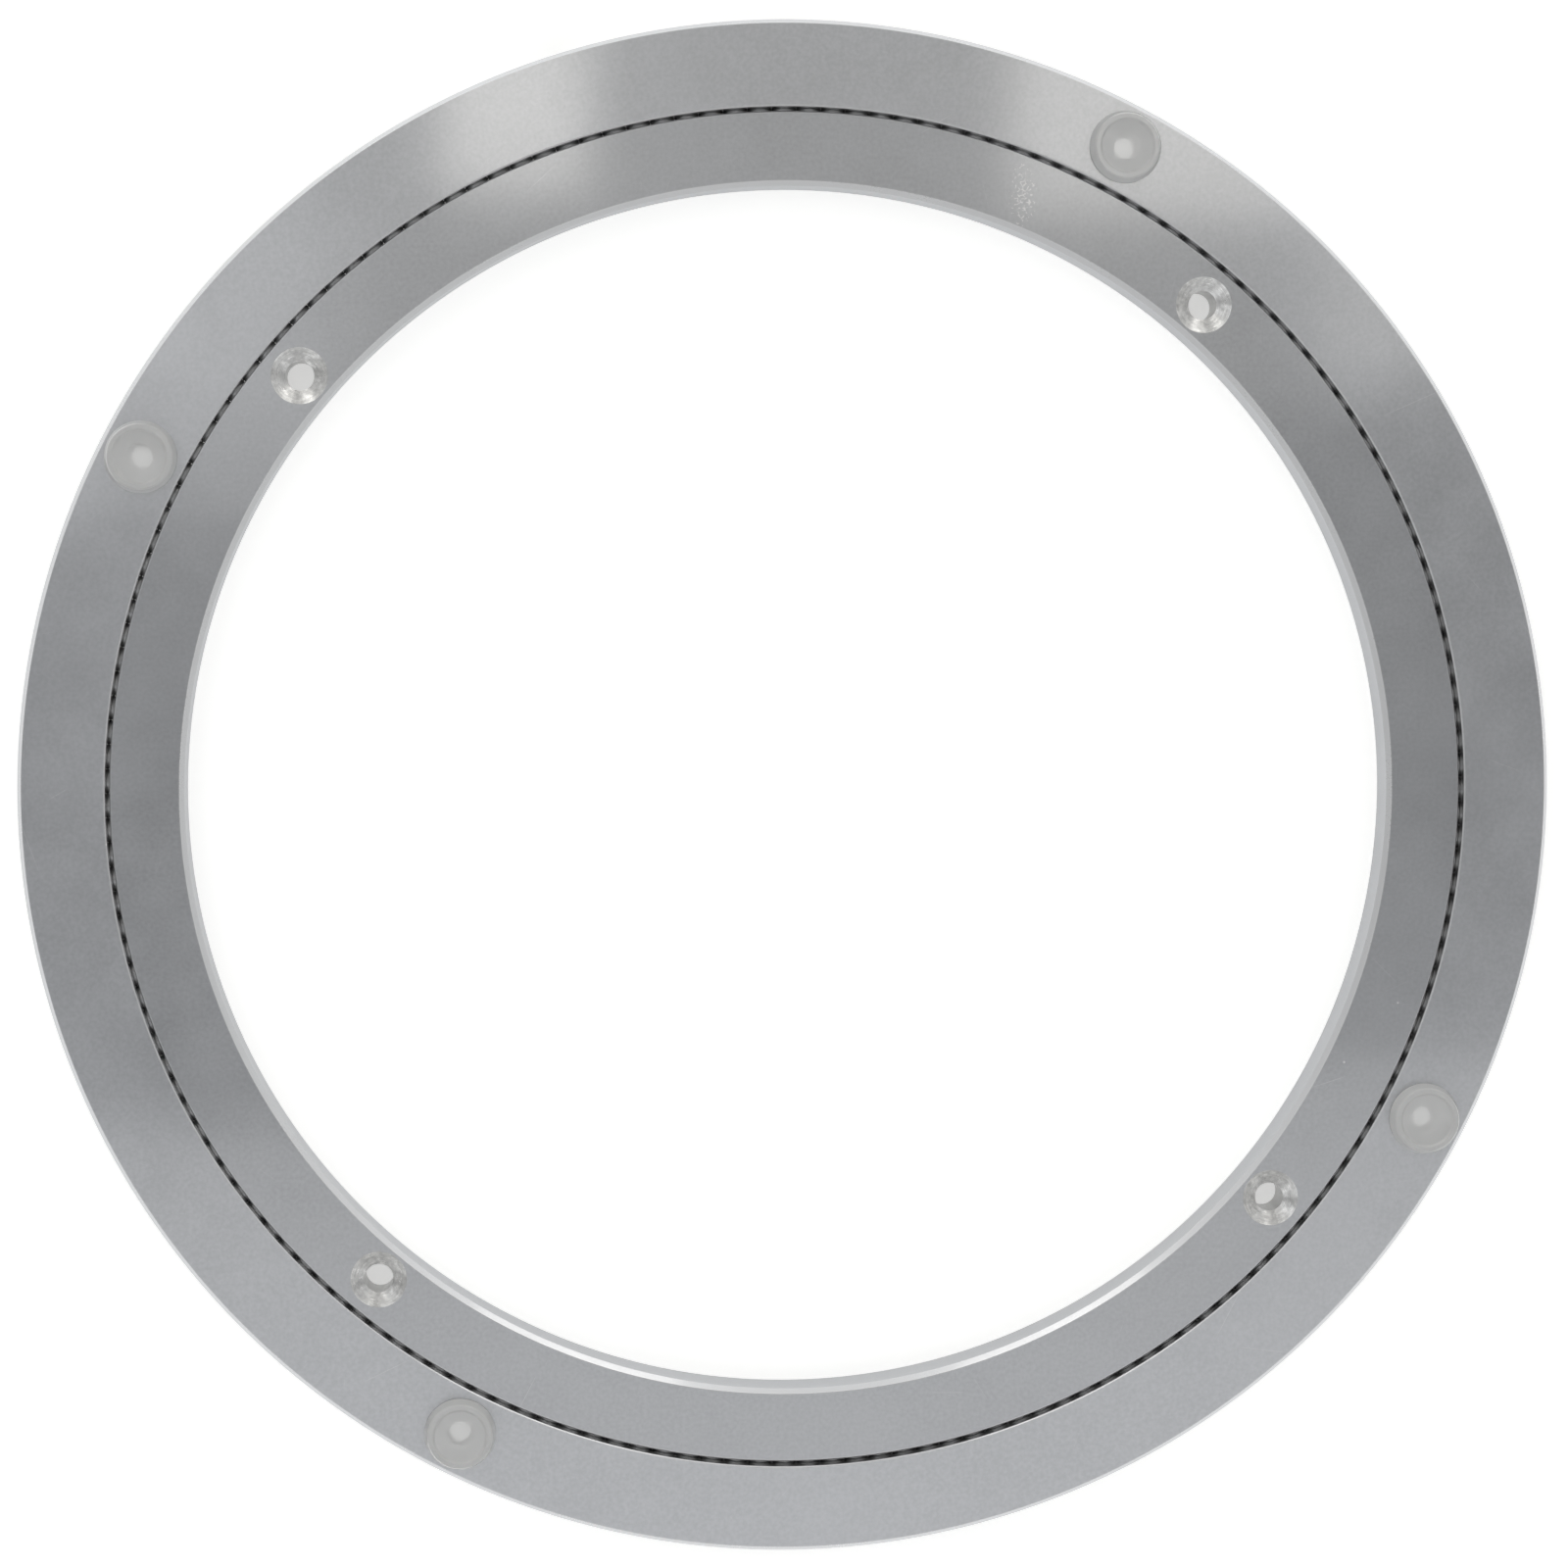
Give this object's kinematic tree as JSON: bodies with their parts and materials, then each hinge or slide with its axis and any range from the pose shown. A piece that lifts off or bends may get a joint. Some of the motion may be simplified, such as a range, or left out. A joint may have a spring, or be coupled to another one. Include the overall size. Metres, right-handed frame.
{
  "type": "turntable bearing ring",
  "caption": "Flat two-ring aluminium turntable bearing that lets a disc laid on its rubber bumpers turn freely on a screwed-down base.",
  "frame": {"origin": "on the turning axis, in the plane of the inner ring's back face, which is the face that screws down on a base", "axes": "+Z along the turning axis, out of the front face that the bumpers and the countersinks are on; with +X to the right and +Y up, seen from the front, the first screw hole lies 49.65 degrees and the first bumper 62.6 degrees anticlockwise of +X"},
  "size_m": [0.3, 0.3, 0.0145],
  "materials": {
    "aluminium": "satin machined, unpainted",
    "clear_rubber": "frosted translucent, soft",
    "ball_steel": "polished bearing steel, oiled",
    "plug_steel": "blackened steel"
  },
  "bodies": {
    "inner_ring_body": {"inner_ring": "aluminium"},
    "outer_ring_body": {"outer_ring": "aluminium", "bumper_1": "clear_rubber", "bumper_2": "clear_rubber", "bumper_3": "clear_rubber", "bumper_4": "clear_rubber", "loading_plug": "plug_steel"},
    "ball_row_body": {"ball_01": "ball_steel", "ball_02": "ball_steel", "ball_03": "ball_steel", "ball_04": "ball_steel", "ball_05": "ball_steel", "ball_06": "ball_steel", "ball_07": "ball_steel", "ball_08": "ball_steel", "ball_09": "ball_steel", "ball_10": "ball_steel", "ball_11": "ball_steel", "ball_12": "ball_steel", "ball_13": "ball_steel", "ball_14": "ball_steel", "ball_15": "ball_steel", "ball_16": "ball_steel", "ball_17": "ball_steel", "ball_18": "ball_steel", "ball_19": "ball_steel", "ball_20": "ball_steel", "ball_21": "ball_steel", "ball_22": "ball_steel", "ball_23": "ball_steel", "ball_24": "ball_steel", "ball_25": "ball_steel", "ball_26": "ball_steel", "ball_27": "ball_steel", "ball_28": "ball_steel", "ball_29": "ball_steel", "ball_30": "ball_steel", "ball_31": "ball_steel", "ball_32": "ball_steel", "ball_33": "ball_steel", "ball_34": "ball_steel", "ball_35": "ball_steel"}
  },
  "joints": [
    {"name": "outer_ring_turn", "type": "hinge", "parent": "inner_ring_body", "child": "outer_ring_body", "pos_m": [0, 0, 0.0055], "axis": [0, 0, 1], "continuous": true},
    {"name": "ball_row_turn", "type": "hinge", "parent": "inner_ring_body", "child": "ball_row_body", "pos_m": [0, 0, 0.0055], "axis": [0, 0, 1], "continuous": true}
  ],
  "couplings": [
    {"joint": "ball_row_turn", "follows": "outer_ring_turn", "ratio": 0.50897}
  ]
}
